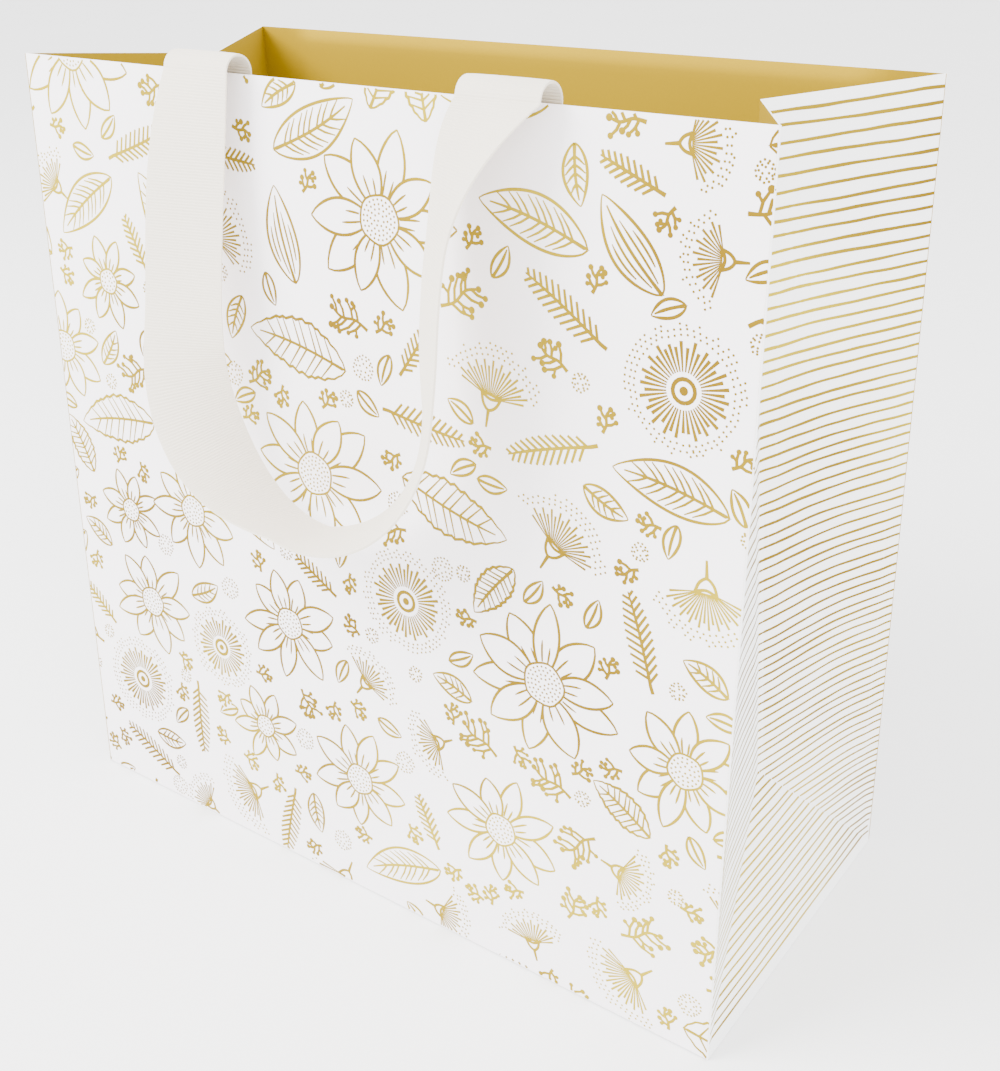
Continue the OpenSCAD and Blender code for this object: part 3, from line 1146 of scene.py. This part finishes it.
def makeSeam():
    def place(across, up):
        cut = seam["taper"] * across * (1 if up > 0.5 else -1) * abs(up * 2 - 1)
        x = halfWidth - seam["corner"] - seam["wide"] * across
        return onWall(x, wall["paper"] + 0.02 * mm, seam["foot"] + seam["high"] * up - cut)

    piece = gridSheet("front_side_seam_paper", spread(0, 1, 6), spread(0, 1, 40), place)
    weld(piece, lambda c: Vector((0, 1, 0)))
    piece.data.transform(Matrix.Translation(wallPoint(0, seam["paper"], 0) - wallPoint(0, 0, 0)))
    thicken(piece, seam["paper"], goldPaper, printedPaper)
    return turned(piece)


# put the bag together
def finishPiece(piece, body, slot, *nodes):
    if nodes:
        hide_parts(*nodes)
    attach(piece, body)


def turned(piece):
    piece.name = piece.name.split(".")[0].replace("front", "back")
    piece.data.transform(Matrix.Diagonal((-1, -1, 1, 1)))
    return piece


def addWalls():
    for make, part, slot in ((makePanel, "panel", "printed_paper"), (makeHem, "hem", "gold_paper"),
                             (makeCard, "card", "grey_card")):
        finishPiece(make(False), "front_wall", slot, "front_" + part)
        finishPiece(turned(make(True)), "back_wall", slot, "back_" + part)
    finishPiece(makeSeam(), "back_wall", "gold_paper", "side_seam_flap")
    for front in makePrints():
        back = mirrored(front, front.name.replace("front", "back"), True, True)
        finishPiece(front, "front_wall", "printed_paper")
        finishPiece(back, "back_wall", "printed_paper")
    print("walls ready")


def addGussets():
    for make, part, slot in ((makeUpper, "upper", "printed_paper"), (makeLower, "lower", "printed_paper"),
                             (makeGussetHem, "hem", "gold_paper")):
        first = make()
        for flipX, side in ((False, "right"), (True, "left")):
            for flipY, face in ((False, "front"), (True, "back")):
                name = f"{side}_{face}_{part}"
                piece = (first if name + "_paper" == first.name
                         else mirrored(first, name + "_paper", flipX, flipY))
                body = f"{side}_gusset" if part == "lower" else f"{side}_{face}_fold"
                finishPiece(piece, body, slot, name)
    for part in ("upper", "lower", "foot"):
        for back in ((False,) if part == "foot" else (False, True)):
            right = makeRuled(part, back)
            if back:
                right.data.transform(Matrix.Diagonal((1, -1, 1, 1)))
                right.data.flip_normals()
            left = mirrored(right, right.name.replace("right", "left"), True, False)
            for piece, side in ((right, "right"), (left, "left")):
                fold = f"{side}_{'back' if back else 'front'}_fold"
                finishPiece(piece, fold if part == "upper" else side + "_gusset", "printed_paper")
    foot = makeFoot()
    other = mirrored(foot, "left_foot_triangle_paper", True, False)
    finishPiece(foot, "right_gusset", "printed_paper", "right_foot_triangle")
    finishPiece(other, "left_gusset", "printed_paper", "left_foot_triangle")
    print("gussets ready")


def addRibbons():
    for side, over, turn in (("front", overRim, 1), ("back", throughSlit, -1)):
        piece, length = makeRibbon(over)
        if turn < 0:
            turned(piece)
        start = onWall(rightLeg, ribbon["hinge"], over["top"])
        end = onWall(rightLeg, over["outer"] * 0.85, over["top"])
        side + "_wall"
        side + "_handle"
        start.y * turn
        end.y * turn
        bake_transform(piece)
        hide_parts(side + "_ribbon_loop", side + "_tail_right", side + "_tail_left")
        side + "_panel_paper"
        side + "_hem_paper"
        print(f"{side} ribbon ready, {length:.3f} m")


def addBase():
    for piece, nodes in makeBase():
        finishPiece(piece, "base", "grey_card" if "board" in piece.name else "printed_paper", *nodes)
    print("base ready")


addWalls()
addGussets()
addRibbons()
addBase()


# floor and light
def addStage():
    floor = Finish("paleFloor")
    cloud = floor.noise(floor.place(), 3.0, 2.0)
    floor.set(Base_Color=floor.mix(cloud, (0.93, 0.93, 0.93), (0.90, 0.90, 0.90)), Roughness=0.9)
    bpy.ops.object.select_all(action="DESELECT")
    bpy.ops.mesh.primitive_plane_add(size=12, location=(0, 0, -0.0002))
    plane = bpy.context.object
    plane.name = "floor"
    plane.data.materials.append(floor.material)
    world = bpy.data.worlds.new("studio")
    bpy.context.scene.world = world
    world.use_nodes = True
    world.node_tree.nodes["Background"].inputs["Color"].default_value = (1, 1, 1, 1)
    world.node_tree.nodes["Background"].inputs["Strength"].default_value = 3.5
    for name, place, size, power in (("keyLight", (-0.7, -0.9, 1.1), 0.8, 52),
                                     ("fillLight", (1.2, -0.5, 0.9), 1.2, 18)):
        light = bpy.data.lights.new(name, "AREA")
        light.size = size
        light.energy = power
        lamp = bpy.data.objects.new(name, light)
        bpy.context.scene.collection.objects.link(lamp)
        lamp.location = place
        lamp.rotation_euler = (Vector((0, 0, 0.13)) - Vector(place)).to_track_quat("-Z", "Y").to_euler()


addStage()
